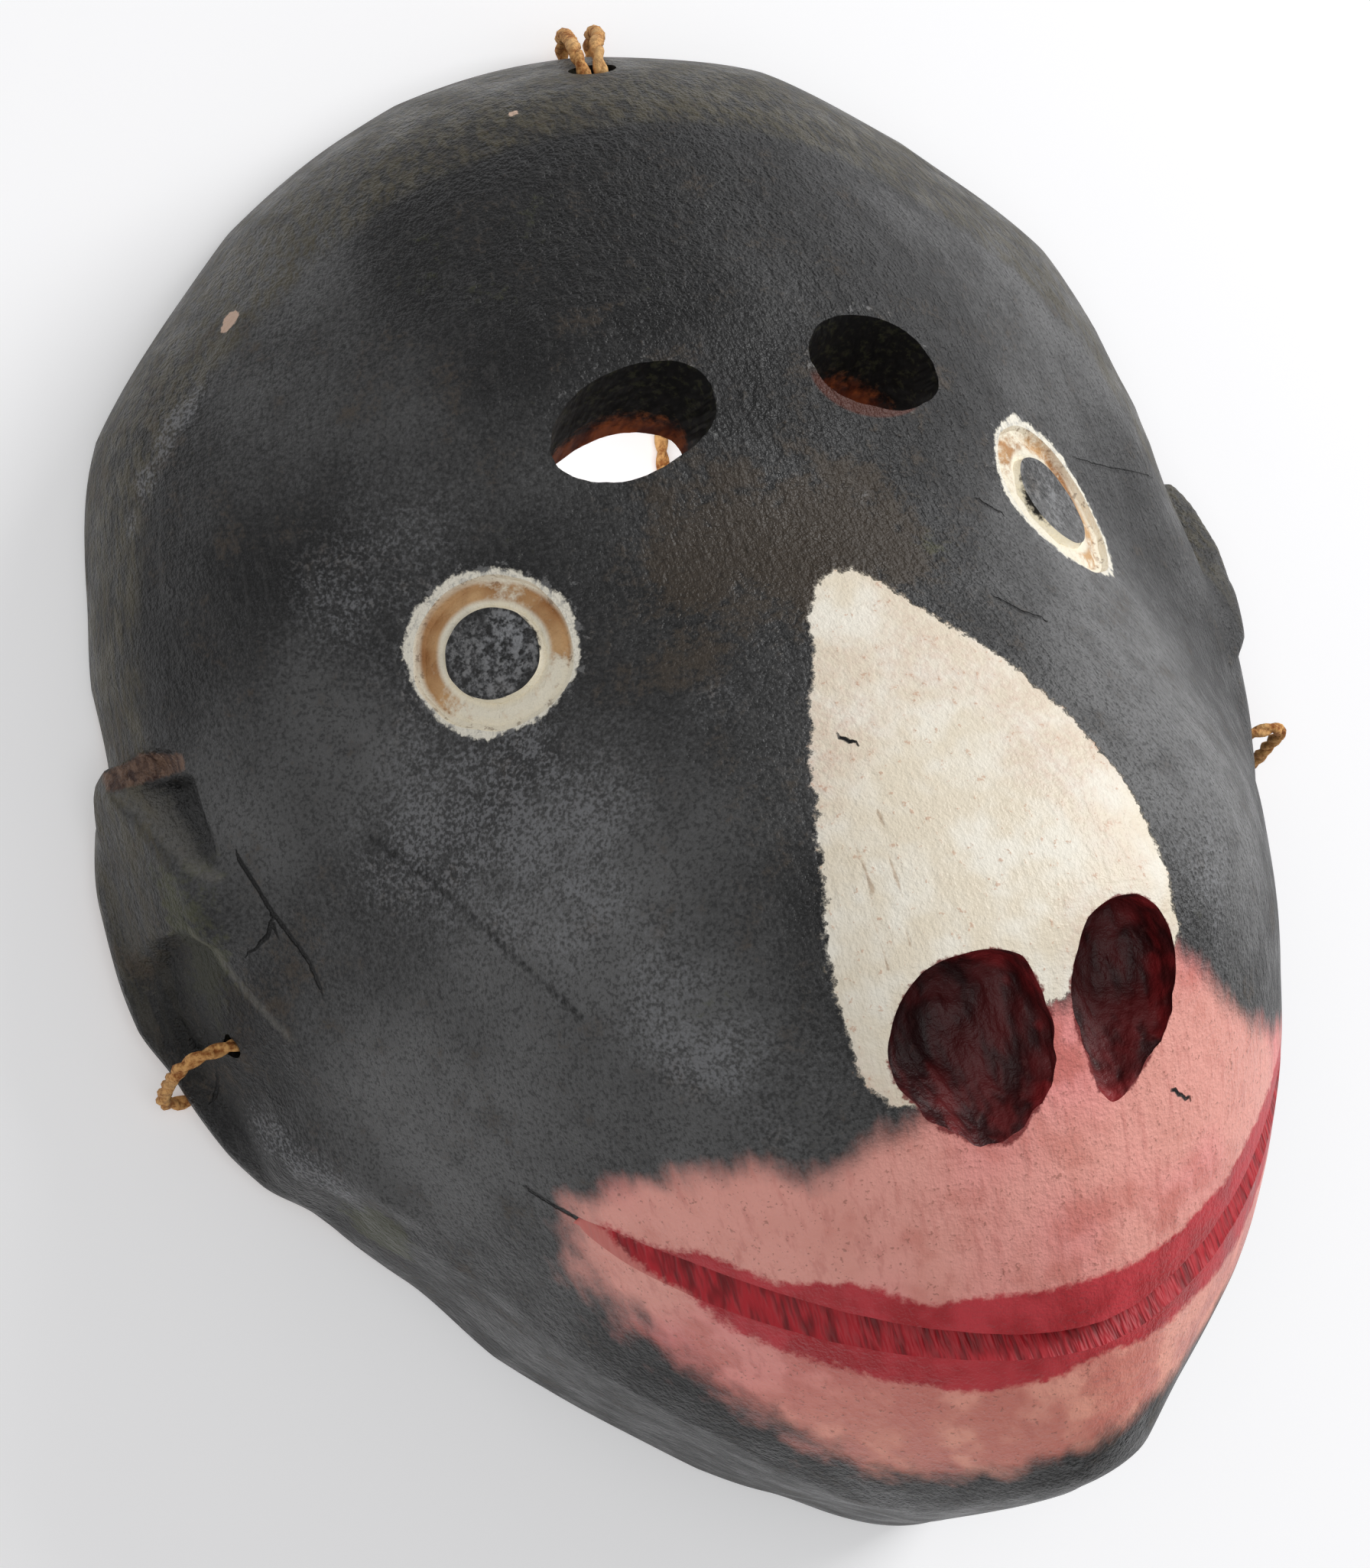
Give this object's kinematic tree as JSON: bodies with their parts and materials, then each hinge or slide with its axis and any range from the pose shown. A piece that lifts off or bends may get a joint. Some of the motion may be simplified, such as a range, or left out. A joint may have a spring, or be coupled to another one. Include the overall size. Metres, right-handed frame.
{
  "type": "carved wooden monkey mask",
  "caption": "Hollow carved wooden monkey face mask with sight holes, painted muzzle and twine ties, lying face up on its rim.",
  "frame": {"origin": "middle of the mask's bounding box, on the surface it lies on", "axes": "+Z out of the face, +Y towards the crown, +X towards the viewer's right of the face"},
  "size_m": [0.1858, 0.2329, 0.1032],
  "materials": {
    "painted_wood": "carved wood in worn matt black paint, with cream, red and pink painted areas",
    "twine": "twisted two-ply natural fibre twine"
  },
  "bodies": {
    "root": {"mask_body": "painted_wood", "left_cord": "twine", "right_cord": "twine", "left_knot": "twine", "right_knot": "twine", "top_knot": "twine"}
  },
  "joints": []
}
